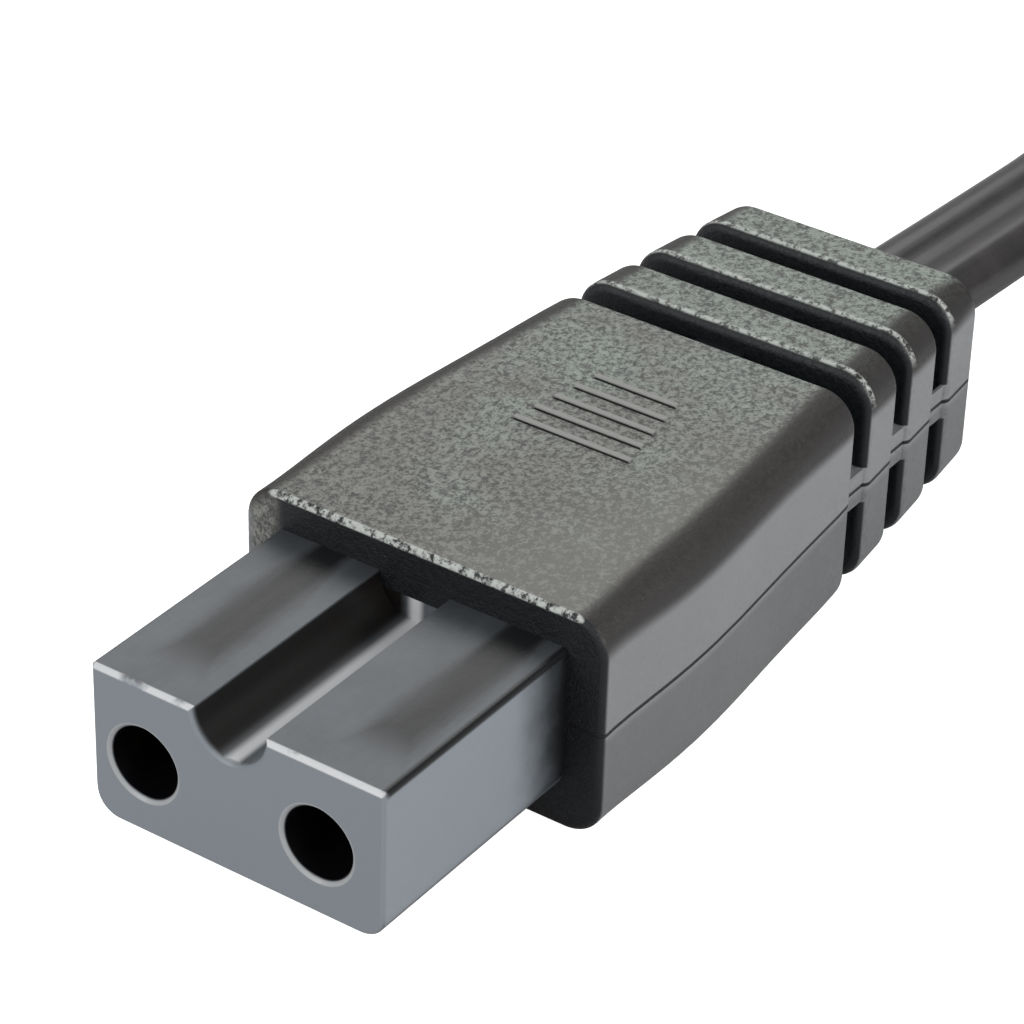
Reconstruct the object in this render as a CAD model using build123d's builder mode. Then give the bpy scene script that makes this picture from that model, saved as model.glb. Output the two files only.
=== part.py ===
from build123d import *
import os
from math import asin, cos, radians, sin, tan

# Power lead of a car refrigerator: a keyed two-pole socket connector, a flat twin cord
# and a fused plug for a vehicle's accessory socket. Millimetres, +Y from the connector's
# mouth back along the cord, +Z up, z = 0 on the table, x = y = 0 under the connector's middle.

# Connector, overall
connector_length = 54.0
parting_height = 6.45
mouth_y = -connector_length / 2
tail_y = connector_length / 2

# Keyed socket block
block_width = 17.0
block_height = 8.5
block_reach = 14.3
block_bottom_round = 1.5
block_edge_round = 0.2
keyway_radius = 2.1
pole_spacing = 10.15
pole_offset = -0.4
pole_drop = 0.25
guide_radius = 1.93
tongue_width = 15.2
tongue_height = 6.8
collar_width = 16.6
collar_height = 8.0
collar_front = 7.0
collar_length = 2.2
body_front_y = mouth_y + block_reach
tongue_end_y = body_front_y + collar_front + collar_length

# Contact sleeves
sleeve_recess = 4.0
sleeve_outer_radius = 1.85
sleeve_inner_radius = 1.5
sleeve_length = 15.0
sleeve_slit_width = 0.5
sleeve_slit_length = 11.0
crimp_outer_radius = 1.3
crimp_inner_radius = 0.8
crimp_length = 9.5
crimp_clearance = 0.05
sleeve_front_y = mouth_y + sleeve_recess
sleeve_end_y = sleeve_front_y + sleeve_length
crimp_end_y = sleeve_end_y + crimp_length

# Moulded body and ribbed strain relief
body_half_width = 10.68
taper_start_y = -5.0
taper_slope = 0.09
taper_blend = 4.0
belly_half_height = 6.45
belly_y = 3.0
belly_fall = 0.001
body_corner_round = 2.0
body_rear_y = 12.2
body_front_round = 0.35
body_rear_round = 0.7
rib_count = 3
slot_width = 1.6
rib_pitch = 4.9
rib_edge_round = 0.5
rail_half_height = 1.0
rail_inset = 0.4
spine_width = 2.8
spine_drop = 1.1
relief_core_width = 8.6
relief_core_height = 5.0
grip_bar_count = 5
grip_bar_width = 0.34
grip_bar_height = 0.12
grip_first_y = -0.2
grip_pitch = 1.43
grip_first_length = 7.0
grip_last_length = 5.0

# Flat twin cord
cord_width = 7.0
cord_thickness = 3.4
core_radius = 1.6
core_spacing = 3.5
strand_radius = 0.75

# Cord route outside the connector, and the hank beyond it
lead_points = [(0, tail_y, 6.2), (0, 31.0, 6.2), (0, 42.0, 5.35), (0, 58.0, 4.2), (-2.4, 67.0, 4.2)]
tail_points = [(0, 212.5, 10.3), (0, 207.5, 10.3), (0, 200.5, 11.2), (-2.3, 192.8, 11.2)]
hank_centre_x = 12.0
hank_front_arc_y = 93.9
hank_rear_arc_y = 165.9
hank_outer_radius = 26.0
hank_inner_radius = 15.6
stub_radius = 3.35
hank_bottom = 0.7
hank_layers = 2
turn_radius = 35.0
turn_angle = 21.5

# Ties round the hank
tie_width = 3.6
tie_thickness = 0.6
tie_clearance = 0.1
tie_tail_length = 9.0
tie_tail_radius = 0.9

# Accessory plug, measured from its tip back along its axis
plug_x = 0.0
plug_axis_height = 10.3
plug_length = 85.5
plug_tip_y = tail_points[0][1] + plug_length
barrel_radius = 10.3
barrel_bore = 8.5
barrel_front = 15.4
barrel_bore_front = 17.4
neck_front = 8.1
neck_radius = 7.8
neck_bore = 4.9
partition_front = 44.6
partition_back = 47.6
handle_front = 46.0
handle_back = 69.0
handle_stations = ((46.0, 12.2, 10.3), (53.0, 12.7, 10.15), (60.0, 12.4, 9.7), (69.0, 9.8, 8.4))
handle_wall = 2.0
shell_gap = 0.02
web_places = (20.4, 34.0)
web_thickness = 1.5
web_bore = 3.5
web_notch_half_width = 8.1
grip_groove_count = 5
grip_groove_pitch = 3.0
grip_groove_middle = 58.0
grip_groove_radius = 0.7

# Nose cap
cap_front = 3.5
cap_back = 15.1
cap_radius = 9.2
cap_front_radius = 7.4
cap_wall = 1.8
cap_hole = 3.4
cap_chamber_radius = 5.4
cap_thread_clearance = 0.3

# Tip contact and fuse
tip_radius = 3.0
tip_dome = 1.6
tip_flange_radius = 4.5
tip_flange_front = 5.6
tip_flange_back = 7.0
fuse_front = 8.0
fuse_length = 30.0
fuse_radius = 3.18
fuse_cap_length = 6.0
fuse_cap_wall = 0.36
fuse_glass_wall = 0.6
fuse_wire_radius = 0.15
fuse_back = fuse_front + fuse_length

# Spring and terminals
spring_radius = 2.35
spring_wire = 0.35
spring_wire_sides = 8
spring_turns = 5
spring_clearance = 0.1
terminal_radius = 3.4
terminal_thickness = 0.7
terminal_pocket_radius = 3.6
tab_width = 2.4
tab_thickness = 0.6
tab_end = 53.0
tab_drop = 1.05
strap_leg_place = 5.65
strap_leg_thickness = 0.5
strap_leg_width = 4.0
strap_leg_front = 24.0
strap_base_thickness = 0.6
strap_tab_width = 2.4
strap_slot_clearance = 0.1

# Side contacts
side_front = 20.6
side_back = 39.4
side_foot = 2.3
side_foot_place = 7.65
side_crest_place = 10.95
side_crest_half = 3.0
side_thickness = 0.5
side_width = 4.0
side_slot_clearance = 0.4

# Indicator, board and screws
board_front = 50.0
board_back = 59.0
board_half_width = 7.2
board_bottom = 2.6
board_thickness = 1.0
ledge_width = 0.7
ledge_length = 7.0
lens_place = 54.0
lens_radius = 2.3
lens_clearance = 0.05
lens_flange_radius = 3.0
lens_flange_top = 7.6
lens_flange_thickness = 0.7
lens_proud = 0.3
led_radius = 1.5
led_height = 3.2
resistor_place = 57.4
resistor_radius = 0.8
resistor_length = 4.0
resistor_wire = 0.25
screw_place = 62.2
screw_offset = 7.9
boss_radius = 2.7
boss_bottom = -7.5
boss_top = 5.0
screw_head_radius = 2.1
screw_head_height = 1.5
screw_head_bottom = -6.2
screw_radius = 1.2
screw_top = 3.6
screw_clearance = 0.05

# Boot where the cord enters the plug
boot_hole_radius = 4.5
boot_flange_radius = 5.6
boot_flange_front = 65.2
boot_inner_back = 66.8
boot_front_radius = 5.6
boot_back_radius = 4.4
boot_groove_count = 4
boot_groove_width = 1.3
boot_groove_depth = 0.9
boot_groove_pitch = 3.4
boot_groove_first = 72.0
wire_bend = 67.0
wire_run_back = 60.0
wire_end = 56.0
negative_wire_place = 4.62
plug_strand_front = 50.0
plug_strand_radius = 0.7


os.makedirs("parts", exist_ok=True)


def save(part, name):
    part.label = name
    export_step(part, f"parts/{name}.step")


def half_width(y):
    past = max(0.0, y - taper_start_y)
    soft = past * past / (2 * taper_blend) if past < taper_blend else past - taper_blend / 2
    return body_half_width - taper_slope * soft


def half_height(y):
    return belly_half_height - belly_fall * (y - belly_y) ** 2


def across(y, height=parting_height):
    """A plane across the lead at y: its x is X, its y is Z, and it faces the mouth."""
    return Plane(origin=(0, y, height), x_dir=(1, 0, 0), z_dir=(0, -1, 0))


def plug_across(place, x=plug_x):
    """A plane across the plug, place millimetres behind its tip; it faces the cord."""
    return Plane(origin=(x, plug_tip_y - place, plug_axis_height), x_dir=(1, 0, 0), z_dir=(0, -1, 0))


# Along the plug: x runs back from the tip, y is up from the axis.
plug_side = Plane(origin=(plug_x, plug_tip_y, plug_axis_height), x_dir=(0, -1, 0), z_dir=(-1, 0, 0))
# The same from above: x runs back from the tip, y is to the right.
plug_plan = Plane(origin=(plug_x, plug_tip_y, plug_axis_height), x_dir=(0, -1, 0), z_dir=(0, 0, 1))
plug_axis = Axis((plug_x, plug_tip_y, plug_axis_height), (0, 1, 0))
pole_places = {"left": pole_offset - pole_spacing / 2, "right": pole_offset + pole_spacing / 2}
pole_height = parting_height - pole_drop
sides = {"left": -1, "right": 1}

# Socket block: keyed nose, tongue and collar held in the moulding, two through bores
with BuildPart() as socket_insert:
    with BuildSketch(across(mouth_y)) as nose_outline:
        Rectangle(block_width, block_height)
        fillet(nose_outline.vertices().group_by(Axis.Y)[0], block_bottom_round)
        fillet(nose_outline.vertices().group_by(Axis.Y)[-1], block_edge_round)
        with Locations((pole_offset, block_height / 2)):
            Circle(keyway_radius, mode=Mode.SUBTRACT)
    extrude(amount=-block_reach)
    with BuildSketch(across(body_front_y)):
        RectangleRounded(tongue_width, tongue_height, block_bottom_round)
    extrude(amount=-(collar_front + collar_length))
    with BuildSketch(across(body_front_y + collar_front)):
        RectangleRounded(collar_width, collar_height, block_bottom_round)
    extrude(amount=-collar_length)
    for place in pole_places.values():
        with BuildSketch(across(mouth_y, pole_height)):
            with Locations((place, 0)):
                Circle(guide_radius)
        extrude(amount=-(sleeve_end_y - mouth_y), mode=Mode.SUBTRACT)
        with BuildSketch(across(sleeve_end_y, pole_height)):
            with Locations((place, 0)):
                Circle(crimp_outer_radius + crimp_clearance)
        extrude(amount=-(tongue_end_y - sleeve_end_y), mode=Mode.SUBTRACT)
    mouth_face = socket_insert.faces().filter_by(Axis.Y).sort_by(Axis.Y)[0]
    chamfer(mouth_face.edges(), block_edge_round)
save(socket_insert.part, "socket_insert")

# Contact sleeves: slit barrel for the pin, crimp barrel for the strands
sleeves = {}
for side, place in pole_places.items():
    with BuildPart() as sleeve:
        with BuildSketch(across(sleeve_front_y, pole_height)):
            with Locations((place, 0)):
                Circle(sleeve_outer_radius)
                Circle(sleeve_inner_radius, mode=Mode.SUBTRACT)
        extrude(amount=-sleeve_length)
        with BuildSketch(across(sleeve_end_y - (sleeve_outer_radius - crimp_inner_radius), pole_height)):
            with Locations((place, 0)):
                Circle(sleeve_inner_radius)
                Circle(crimp_inner_radius, mode=Mode.SUBTRACT)
        extrude(amount=-(sleeve_outer_radius - crimp_inner_radius))
        with BuildSketch(across(sleeve_end_y, pole_height)):
            with Locations((place, 0)):
                Circle(crimp_outer_radius)
                Circle(crimp_inner_radius, mode=Mode.SUBTRACT)
        extrude(amount=-crimp_length)
        with BuildSketch(across(sleeve_front_y, pole_height)):
            with Locations((place, sleeve_outer_radius)):
                Rectangle(sleeve_slit_width, 2 * (sleeve_outer_radius - sleeve_inner_radius) + 0.4)
        extrude(amount=-sleeve_slit_length, mode=Mode.SUBTRACT)
    save(sleeve.part, f"contact_sleeve_{side}")
    sleeves[side] = sleeve.part

# Insulated cores inside the connector, fanning out from the cord to the two contacts
core_front_y = crimp_end_y + 1.0
cores = {}
strands = {}
for side, place in pole_places.items():
    start_x = sides[side] * core_spacing / 2
    with BuildPart() as core:
        with BuildLine():
            FilletPolyline(
                (start_x, tail_y, pole_height),
                (start_x, core_front_y + 8.5, pole_height),
                (place, core_front_y + 2.5, pole_height),
                (place, core_front_y, pole_height),
                radius=[7.0, 3.6],
            )
        with BuildSketch(across(tail_y, pole_height)):
            with Locations((start_x, 0)):
                Circle(core_radius)
        sweep()
    save(core.part, f"connector_core_{side}")
    cores[side] = core.part
    with BuildPart() as strand:
        with BuildSketch(across(core_front_y, pole_height)):
            with Locations((place, 0)):
                Circle(strand_radius)
        extrude(amount=core_front_y - sleeve_end_y - 1.0)
    save(strand.part, f"connector_strands_{side}")
    strands[side] = strand.part


def outline_form(front, rear, steps):
    """The lead's moulded outline lofted from one place to another."""
    with BuildPart() as form:
        for step in range(steps + 1):
            y = front + (rear - front) * step / steps
            with BuildSketch(across(y)):
                RectangleRounded(2 * half_width(y), 2 * half_height(y), body_corner_round)
        loft()
    return form.part


def end_edges(form, place):
    return form.faces().filter_by(Axis.Y).sort_by(Axis.Y)[place].edges()


# Moulded body: a lofted grip, then three ribs on a core with a spine and two side rails
grip = outline_form(body_front_y, body_rear_y, 5)
grip = fillet(end_edges(grip, 0), body_front_round)
grip = fillet(end_edges(grip, -1), body_rear_round)
slot_places = [body_rear_y + number * rib_pitch for number in range(rib_count)]
ribs = []
for slot_y in slot_places:
    rib_end_y = tail_y if slot_y == slot_places[-1] else slot_y + rib_pitch
    rib = outline_form(slot_y + slot_width, rib_end_y, 1)
    rib = fillet(end_edges(rib, 0), rib_edge_round)
    ribs.append(fillet(end_edges(rib, -1), rib_edge_round))
with BuildPart() as connector_overmould:
    add(grip)
    add(ribs)
    for slot_y in slot_places:
        rail_half_width = half_width(slot_y) - rail_inset
        with BuildSketch(across(slot_y - body_rear_round)):
            Rectangle(2 * rail_half_width, 2 * rail_half_height)
            RectangleRounded(relief_core_width, relief_core_height, relief_core_height / 2 - 0.1)
            Rectangle(spine_width, 2 * (half_height(slot_y) - spine_drop))
        extrude(amount=-(body_rear_round + slot_width + rib_edge_round))
    # Grip bars on the top, shortening towards the cord
    for bar in range(grip_bar_count):
        bar_y = grip_first_y + bar * grip_pitch
        bar_length = grip_first_length + (grip_last_length - grip_first_length) * bar / (grip_bar_count - 1)
        top = parting_height + half_height(bar_y)
        with BuildSketch(Plane.XY.offset(top - 0.3)):
            with Locations((0.1, bar_y)):
                SlotOverall(bar_length, grip_bar_width)
        extrude(amount=0.3 + grip_bar_height)
    # Cavity for the block's tongue and collar, the crimps, the strands and the cores
    with BuildSketch(across(body_front_y)):
        RectangleRounded(tongue_width, tongue_height, block_bottom_round)
    extrude(amount=-(collar_front + collar_length), mode=Mode.SUBTRACT)
    with BuildSketch(across(body_front_y + collar_front)):
        RectangleRounded(collar_width, collar_height, block_bottom_round)
    extrude(amount=-collar_length, mode=Mode.SUBTRACT)
    for place in pole_places.values():
        with BuildSketch(across(tongue_end_y, pole_height)):
            with Locations((place, 0)):
                Circle(crimp_outer_radius)
        extrude(amount=-(crimp_end_y - tongue_end_y), mode=Mode.SUBTRACT)
    for side in sides:
        add(cores[side], mode=Mode.SUBTRACT)
        add(strands[side], mode=Mode.SUBTRACT)
save(connector_overmould.part, "connector_overmould")


def tangent_radii(points):
    """For each corner of a route, 0.45 of its shorter run divided by the tangent of half its turn."""
    radii = []
    for before, corner, after in zip(points, points[1:], points[2:]):
        run_in = Vector(*corner) - Vector(*before)
        run_out = Vector(*after) - Vector(*corner)
        turn = radians(run_in.get_angle(run_out))
        radii.append(0.45 * min(run_in.length, run_out.length) / tan(turn / 2))
    return radii


# Cord between the connector and the hank, and between the plug and the hank
for name, points in (("cord_lead", lead_points), ("cord_tail", tail_points)):
    with BuildPart() as cord:
        with BuildLine():
            FilletPolyline(*points, radius=tangent_radii(points))
        with BuildSketch(Plane(origin=points[0], x_dir=(1, 0, 0), z_dir=(0, 1, 0))):
            RectangleRounded(cord_width, cord_thickness, cord_thickness / 2 - 0.01)
        sweep()
    save(cord.part, name)

# Hank: the outer shape of the wound turns, with a round stub where the cord enters and leaves
hank_height = hank_layers * cord_width
hank_middle_y = (hank_front_arc_y + hank_rear_arc_y) / 2
hank_straight = hank_rear_arc_y - hank_front_arc_y
with BuildPart() as cord_hank:
    with BuildSketch(Plane.XY.offset(hank_bottom)):
        with Locations((hank_centre_x, hank_middle_y)):
            SlotCenterToCenter(hank_straight, 2 * hank_outer_radius, rotation=90)
            SlotCenterToCenter(hank_straight, 2 * hank_inner_radius, rotation=90, mode=Mode.SUBTRACT)
    extrude(amount=hank_height)
    for points, way in ((lead_points, 1), (tail_points, -1)):
        heading = (Vector(*points[-1]) - Vector(*points[-2])).normalized()
        with BuildLine():
            JernArc(start=points[-1], tangent=heading, radius=turn_radius, arc_size=way * turn_angle)
        with BuildSketch(Plane(origin=points[-1], z_dir=heading)):
            Circle(stub_radius)
        sweep()
save(cord_hank.part, "cord_hank")

# Ties: a flat strip round each side of the hank, with its twisted ends on top
side_middle = (hank_outer_radius + hank_inner_radius) / 2
bundle_width = hank_outer_radius - hank_inner_radius
tie_y = hank_middle_y
tie_middle_height = hank_bottom + hank_height / 2
with BuildPart() as hank_ties:
    for way in sides.values():
        tie_x = hank_centre_x + way * side_middle
        with BuildSketch(across(tie_y - tie_width / 2, tie_middle_height)):
            with Locations((tie_x, 0)):
                RectangleRounded(
                    bundle_width + 2 * (tie_clearance + tie_thickness),
                    hank_height + 2 * (tie_clearance + tie_thickness),
                    tie_thickness + tie_clearance,
                )
                Rectangle(
                    bundle_width + 2 * tie_clearance, hank_height + 2 * tie_clearance, mode=Mode.SUBTRACT
                )
        extrude(amount=-tie_width)
        tail_height = hank_bottom + hank_height + tie_clearance + tie_thickness + tie_tail_radius - 0.1
        with BuildSketch(across(tie_y, tail_height)):
            with Locations((tie_x, 0)):
                Circle(tie_tail_radius)
        extrude(amount=-tie_tail_length)
save(hank_ties.part, "hank_ties")


# Tip contact and fuse, which slide as one against the spring
dome_radius = (tip_dome**2 + tip_radius**2) / (2 * tip_dome)
dome_half_angle = asin(tip_radius / dome_radius) / 2
with BuildPart() as tip_contact:
    with BuildSketch(plug_side):
        with BuildLine():
            Polyline(
                (0, 0),
                (fuse_front, 0),
                (fuse_front, tip_radius),
                (tip_flange_back, tip_radius),
                (tip_flange_back, tip_flange_radius),
                (tip_flange_front, tip_flange_radius),
                (tip_flange_front, tip_radius),
                (tip_dome, tip_radius),
            )
            ThreePointArc(
                (tip_dome, tip_radius),
                (dome_radius * (1 - cos(dome_half_angle)), dome_radius * sin(dome_half_angle)),
                (0, 0),
            )
        make_face()
    revolve(axis=plug_axis)
save(tip_contact.part, "tip_contact")

glass_radius = fuse_radius - fuse_cap_wall
cap_inner_front = fuse_front + fuse_cap_wall
cap_inner_back = fuse_back - fuse_cap_wall
for name, face_place, way in (("fuse_cap_front", fuse_front, 1), ("fuse_cap_rear", fuse_back, -1)):
    with BuildPart() as fuse_cap:
        with BuildSketch(plug_side):
            with BuildLine():
                Polyline(
                    (face_place, 0),
                    (face_place + way * fuse_cap_wall, 0),
                    (face_place + way * fuse_cap_wall, glass_radius),
                    (face_place + way * fuse_cap_length, glass_radius),
                    (face_place + way * fuse_cap_length, fuse_radius),
                    (face_place, fuse_radius),
                    close=True,
                )
            make_face()
        revolve(axis=plug_axis)
    save(fuse_cap.part, name)

with BuildPart() as fuse_glass:
    with BuildSketch(plug_across(cap_inner_front)):
        Circle(glass_radius)
        Circle(glass_radius - fuse_glass_wall, mode=Mode.SUBTRACT)
    extrude(amount=cap_inner_back - cap_inner_front)
save(fuse_glass.part, "fuse_glass")

with BuildPart() as fuse_element:
    with BuildSketch(plug_across(cap_inner_front)):
        Circle(fuse_wire_radius)
    extrude(amount=cap_inner_back - cap_inner_front)
save(fuse_element.part, "fuse_element")

# Nose cap, screwed over the neck of the barrel
with BuildPart() as nose_cap:
    with BuildSketch(plug_side):
        with BuildLine():
            Polyline(
                (cap_front, cap_hole), (cap_front, cap_front_radius - 1.2), (cap_front + 1.2, cap_front_radius),
                (cap_front + 5.0, cap_radius), (cap_back, cap_radius), (cap_back, neck_radius + cap_thread_clearance),
                (neck_front - cap_thread_clearance, neck_radius + cap_thread_clearance),
                (neck_front - cap_thread_clearance, cap_chamber_radius),
                (cap_front + cap_wall, cap_chamber_radius), (cap_front + cap_wall, cap_hole), close=True,
            )
        make_face()
    revolve(axis=plug_axis)
    with BuildSketch(plug_across(cap_front + 5.6)):
        with PolarLocations(cap_radius + 0.15, 24):
            Circle(0.45)
    extrude(amount=cap_back - cap_front, mode=Mode.SUBTRACT)
save(nose_cap.part, "nose_cap")

# Spring behind the fuse
spring_front = fuse_back + spring_clearance + spring_wire
spring_back = partition_back - 1.0 - terminal_thickness - spring_clearance - spring_wire
with BuildPart() as tip_spring:
    with BuildLine():
        coil = Helix(
            pitch=(spring_back - spring_front) / spring_turns,
            height=spring_back - spring_front,
            radius=spring_radius,
            center=(plug_x, plug_tip_y - spring_front, plug_axis_height),
            direction=(0, -1, 0),
        )
    with BuildSketch(Plane(origin=coil @ 0, z_dir=coil % 0)):
        RegularPolygon(spring_wire, spring_wire_sides)
    sweep(is_frenet=True)
save(tip_spring.part, "tip_spring")

# Positive terminal: a disc behind the spring with a solder tab
disc_front = partition_back - 1.0 - terminal_thickness
with BuildPart() as positive_terminal:
    with BuildSketch(plug_across(disc_front)):
        Circle(terminal_radius)
    extrude(amount=terminal_thickness)
    with BuildSketch(plug_across(disc_front, plug_x + core_spacing / 2)):
        with Locations((0, -tab_drop)):
            Rectangle(tab_width, tab_thickness)
    extrude(amount=tab_end - disc_front)
save(positive_terminal.part, "positive_terminal")

# Negative strap: a stamped bracket with a leg inside each side contact and a solder tab
with BuildPart() as negative_strap:
    with BuildSketch(plug_across(partition_front - strap_base_thickness)):
        Rectangle(2 * (strap_leg_place + strap_leg_thickness / 2), 2 * terminal_pocket_radius + 1.6)
        Circle(terminal_pocket_radius, mode=Mode.SUBTRACT)
    extrude(amount=strap_base_thickness)
    with BuildSketch(plug_across(strap_leg_front)):
        for way in sides.values():
            with Locations((way * strap_leg_place, 0)):
                Rectangle(strap_leg_thickness, strap_leg_width)
    extrude(amount=partition_front - strap_leg_front)
    with BuildSketch(plug_across(partition_front)):
        with Locations((-strap_leg_place, 0)):
            Rectangle(strap_leg_thickness, strap_tab_width)
    extrude(amount=tab_end - partition_front)
save(negative_strap.part, "negative_strap")

# Side contacts: bowed strips that stand out through the barrel's slots
side_middle_place = (side_front + side_back) / 2
for side, way in sides.items():
    with BuildPart() as contact:
        with BuildSketch(plug_plan.offset(-side_width / 2)):
            with BuildLine():
                FilletPolyline(
                    (side_front, way * side_foot_place),
                    (side_front + side_foot, way * side_foot_place),
                    (side_middle_place - side_crest_half, way * side_crest_place),
                    (side_middle_place + side_crest_half, way * side_crest_place),
                    (side_back - side_foot, way * side_foot_place),
                    (side_back, way * side_foot_place),
                    radius=[1.0, 4.0, 4.0, 1.0],
                )
            trace(line_width=side_thickness)
        extrude(amount=side_width)
    save(contact.part, f"side_contact_{side}")


def handle_size(place):
    """Half width and half height of the handle, straight between its stations."""
    for (before, width, height), (after, next_width, next_height) in zip(handle_stations, handle_stations[1:]):
        if place <= after:
            share = (place - before) / (after - before)
            return width + (next_width - width) * share, height + (next_height - height) * share


def handle_form(inset, front, back):
    """The handle's flattened form between two places, inset by a wall."""
    places = [front, *(station[0] for station in handle_stations if front < station[0] < back), back]
    with BuildPart() as form:
        for place in places:
            width, height = handle_size(place)
            with BuildSketch(plug_across(place)):
                Ellipse(width - inset, height - inset)
        loft()
    return form.part


handle_outside = handle_form(0, handle_front, handle_back)
handle_inside = handle_form(handle_wall, partition_back, boot_inner_back)
screw_places = [(screw_place, way * screw_offset) for way in sides.values()]
with BuildPart() as bosses:
    with BuildSketch(plug_plan.offset(boss_bottom)):
        with Locations(*screw_places):
            Circle(boss_radius)
    extrude(amount=boss_top - boss_bottom)
    add(handle_outside, mode=Mode.INTERSECT)
screw_bosses = bosses.part


def shell(way):
    """One half of the plug's housing: way is 1 for the upper half and -1 for the lower."""
    with BuildPart() as half:
        with BuildSketch(plug_across(neck_front)):
            Circle(neck_radius)
        extrude(amount=barrel_front - neck_front + 0.1)
        with BuildSketch(plug_across(barrel_front)):
            Circle(barrel_radius)
        extrude(amount=handle_front - barrel_front + 0.1)
        add(handle_outside)
        for groove in range(grip_groove_count):
            groove_place = grip_groove_middle + (groove - (grip_groove_count - 1) / 2) * grip_groove_pitch
            groove_side = handle_size(groove_place)[0] + 0.25 * grip_groove_radius
            with BuildSketch(plug_plan.offset(-barrel_radius)):
                for edge in sides.values():
                    with Locations((groove_place, edge * groove_side)):
                        Circle(grip_groove_radius)
            extrude(amount=2 * barrel_radius, mode=Mode.SUBTRACT)
        # Bores: neck, barrel, terminal pocket, handle, boot
        with BuildSketch(plug_across(neck_front)):
            Circle(neck_bore)
        extrude(amount=partition_front - neck_front, mode=Mode.SUBTRACT)
        chamber_fronts = (barrel_bore_front, *(place + web_thickness for place in web_places))
        for chamber_front, chamber_back in zip(chamber_fronts, (*web_places, partition_front)):
            with BuildSketch(plug_across(chamber_front)):
                Circle(barrel_bore)
            extrude(amount=chamber_back - chamber_front, mode=Mode.SUBTRACT)
        with BuildSketch(plug_across(partition_front)):
            Circle(terminal_pocket_radius)
        extrude(amount=disc_front + terminal_thickness - partition_front, mode=Mode.SUBTRACT)
        add(handle_inside, mode=Mode.SUBTRACT)
        with BuildSketch(plug_across(boot_inner_back - 0.1)):
            Circle(boot_hole_radius)
        extrude(amount=handle_back - boot_inner_back + 1.0, mode=Mode.SUBTRACT)
        # Slots through the partition for the two solder tabs
        with BuildSketch(plug_across(partition_front)):
            with Locations((-strap_leg_place, 0)):
                Rectangle(
                    strap_leg_thickness + 2 * strap_slot_clearance, strap_tab_width + 2 * strap_slot_clearance
                )
        extrude(amount=partition_back - partition_front + 0.5, mode=Mode.SUBTRACT)
        with BuildSketch(plug_across(partition_back - 1.2)):
            with Locations((core_spacing / 2, -tab_drop)):
                Rectangle(tab_width + 2 * strap_slot_clearance, tab_thickness + 2 * strap_slot_clearance)
        extrude(amount=1.8, mode=Mode.SUBTRACT)
        # The webs between the chambers guide the fuse, notched for the strap's legs and the side contacts
        for web_place in web_places:
            with BuildSketch(plug_across(web_place - 0.1)):
                Rectangle(2 * web_notch_half_width, side_width + 2 * side_slot_clearance)
            extrude(amount=web_thickness + 0.2, mode=Mode.SUBTRACT)
        # Slots in the barrel for the side contacts
        with BuildSketch(plug_side.offset(-barrel_radius - 1.0)):
            with Locations((side_middle_place, 0)):
                RectangleRounded(
                    side_back - side_front - 2 * side_foot + 1.0, side_width + 2 * side_slot_clearance, 0.6
                )
        extrude(amount=2 * (barrel_radius + 1.0), mode=Mode.SUBTRACT)
        add(screw_bosses)
        split(bisect_by=plug_plan.offset(way * shell_gap / 2), keep=Keep.TOP if way > 0 else Keep.BOTTOM)
        if way > 0:
            with BuildSketch(plug_plan):
                with Locations((lens_place, 0)):
                    Circle(lens_radius + lens_clearance)
            extrude(amount=2 * barrel_radius, mode=Mode.SUBTRACT)
            with BuildSketch(plug_plan):
                with Locations(*screw_places):
                    Circle(screw_radius + screw_clearance)
            extrude(amount=screw_top + 0.2, mode=Mode.SUBTRACT)
        else:
            # Ledges that carry the board
            with BuildSketch(plug_plan.offset(-7.0)):
                for edge in sides.values():
                    with Locations(((board_front + board_back) / 2, edge * (board_half_width - ledge_width / 2))):
                        Rectangle(ledge_length, ledge_width)
            extrude(amount=7.0 + board_bottom)
            with BuildSketch(plug_plan.offset(-2 * barrel_radius)):
                with Locations(*screw_places):
                    Circle(screw_head_radius + 0.2)
            extrude(amount=2 * barrel_radius + screw_head_bottom + screw_head_height, mode=Mode.SUBTRACT)
            with BuildSketch(plug_plan.offset(-2 * barrel_radius)):
                with Locations(*screw_places):
                    Circle(screw_radius + 2 * screw_clearance)
            extrude(amount=2 * barrel_radius + 1, mode=Mode.SUBTRACT)
    return half.part


plug_shell_upper = shell(1)
save(plug_shell_upper, "plug_shell_upper")
plug_shell_lower = shell(-1)
save(plug_shell_lower, "plug_shell_lower")

# Screws that hold the two halves together
with BuildPart() as shell_screws:
    for way in sides.values():
        with BuildSketch(plug_plan.offset(screw_head_bottom)):
            with Locations((screw_place, way * screw_offset)):
                Circle(screw_head_radius)
                Rectangle(2.6, 0.6, mode=Mode.SUBTRACT)
                Rectangle(0.6, 2.6, mode=Mode.SUBTRACT)
        extrude(amount=0.8)
        with BuildSketch(plug_plan.offset(screw_head_bottom + 0.8)):
            with Locations((screw_place, way * screw_offset)):
                Circle(screw_head_radius)
        extrude(amount=screw_head_height - 0.8)
        with BuildSketch(plug_plan.offset(screw_head_bottom + screw_head_height)):
            with Locations((screw_place, way * screw_offset)):
                Circle(screw_radius)
        extrude(amount=screw_top - screw_head_bottom - screw_head_height)
save(shell_screws.part, "shell_screws")

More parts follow.
